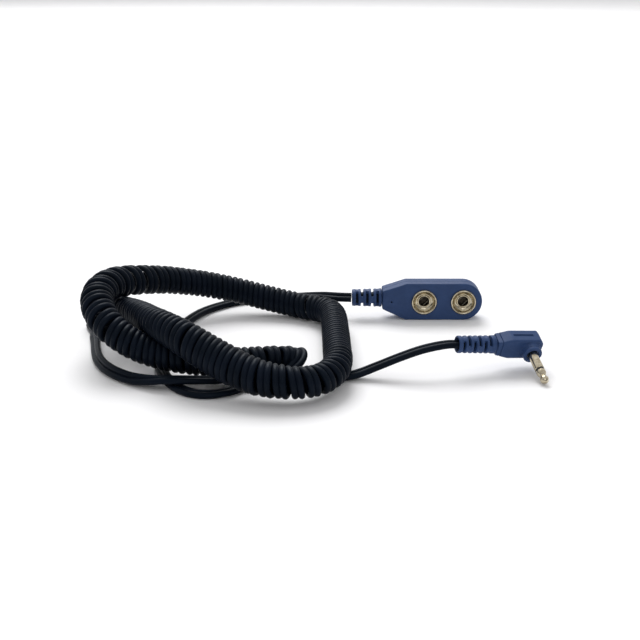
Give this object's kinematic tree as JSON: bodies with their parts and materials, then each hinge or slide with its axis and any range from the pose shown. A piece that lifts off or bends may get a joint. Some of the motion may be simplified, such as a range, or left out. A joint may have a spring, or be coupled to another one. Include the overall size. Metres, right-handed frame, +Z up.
{
  "type": "coiled ground cord with dual-socket snap head",
  "caption": "Coiled twin-conductor ground cord for a dual-wire wrist strap: a moulded head with two snap sockets and a lanyard fin, and a right-angle 3.5 mm mono plug.",
  "frame": {"origin": "under the middle of the snap head with its own strain relief, on the surface that the head stands on", "axes": "+X along the head, away from its cord; -Y out of the snap face; +Z up"},
  "size_m": [0.1842, 0.115, 0.0295],
  "materials": {
    "blue_plastic": "satin moulded plastic, slate blue",
    "nickel": "bright nickel plate",
    "spring_steel": "drawn spring wire",
    "cord_jacket": "satin black cord jacket with a cold tint",
    "black_insulator": "turned black plastic ring",
    "resistor_coat": "dipped tan coating",
    "copper": "bare tinned copper strand"
  },
  "bodies": {
    "cord_set": {"head_front_shell": "blue_plastic", "head_rear_shell": "blue_plastic", "head_strain_relief": "blue_plastic", "socket_cup_left": "nickel", "socket_cup_right": "nickel", "socket_back_left": "nickel", "socket_back_right": "nickel", "solder_lug_left": "nickel", "solder_lug_right": "nickel", "resistor_upper": "resistor_coat", "resistor_lower": "resistor_coat", "head_conductor_upper": "copper", "head_conductor_lower": "copper", "link_wire_left": "cord_jacket", "link_wire_right": "cord_jacket", "head_lead": "cord_jacket", "coil": "cord_jacket", "plug_lead": "cord_jacket", "plug_body": "blue_plastic", "plug_strain_relief": "blue_plastic", "plug_sleeve": "nickel", "plug_insulator": "black_insulator", "plug_tip": "nickel", "plug_sleeve_lug": "nickel", "plug_tip_lug": "nickel", "plug_conductor_sleeve": "copper", "plug_conductor_tip": "copper"},
    "left_upper_leg": {"spring_leg_upper_left": "spring_steel"},
    "left_lower_leg": {"spring_leg_lower_left": "spring_steel"},
    "right_upper_leg": {"spring_leg_upper_right": "spring_steel"},
    "right_lower_leg": {"spring_leg_lower_right": "spring_steel"}
  },
  "joints": [
    {"name": "left_spring_spread", "type": "slide", "parent": "cord_set", "child": "left_upper_leg", "axis": [-0.7071, 0, 0.7071], "range_m": [0, 0.00035], "stiffness_N_per_m": 200},
    {"name": "left_spring_follow", "type": "slide", "parent": "cord_set", "child": "left_lower_leg", "axis": [0.7071, 0, -0.7071], "range_m": [0, 0.00035], "stiffness_N_per_m": 200},
    {"name": "right_spring_spread", "type": "slide", "parent": "cord_set", "child": "right_upper_leg", "axis": [-0.7071, 0, 0.7071], "range_m": [0, 0.00035], "stiffness_N_per_m": 200},
    {"name": "right_spring_follow", "type": "slide", "parent": "cord_set", "child": "right_lower_leg", "axis": [0.7071, 0, -0.7071], "range_m": [0, 0.00035], "stiffness_N_per_m": 200}
  ],
  "couplings": [
    {"joint": "left_spring_follow", "follows": "left_spring_spread", "ratio": 1},
    {"joint": "right_spring_follow", "follows": "right_spring_spread", "ratio": 1}
  ]
}
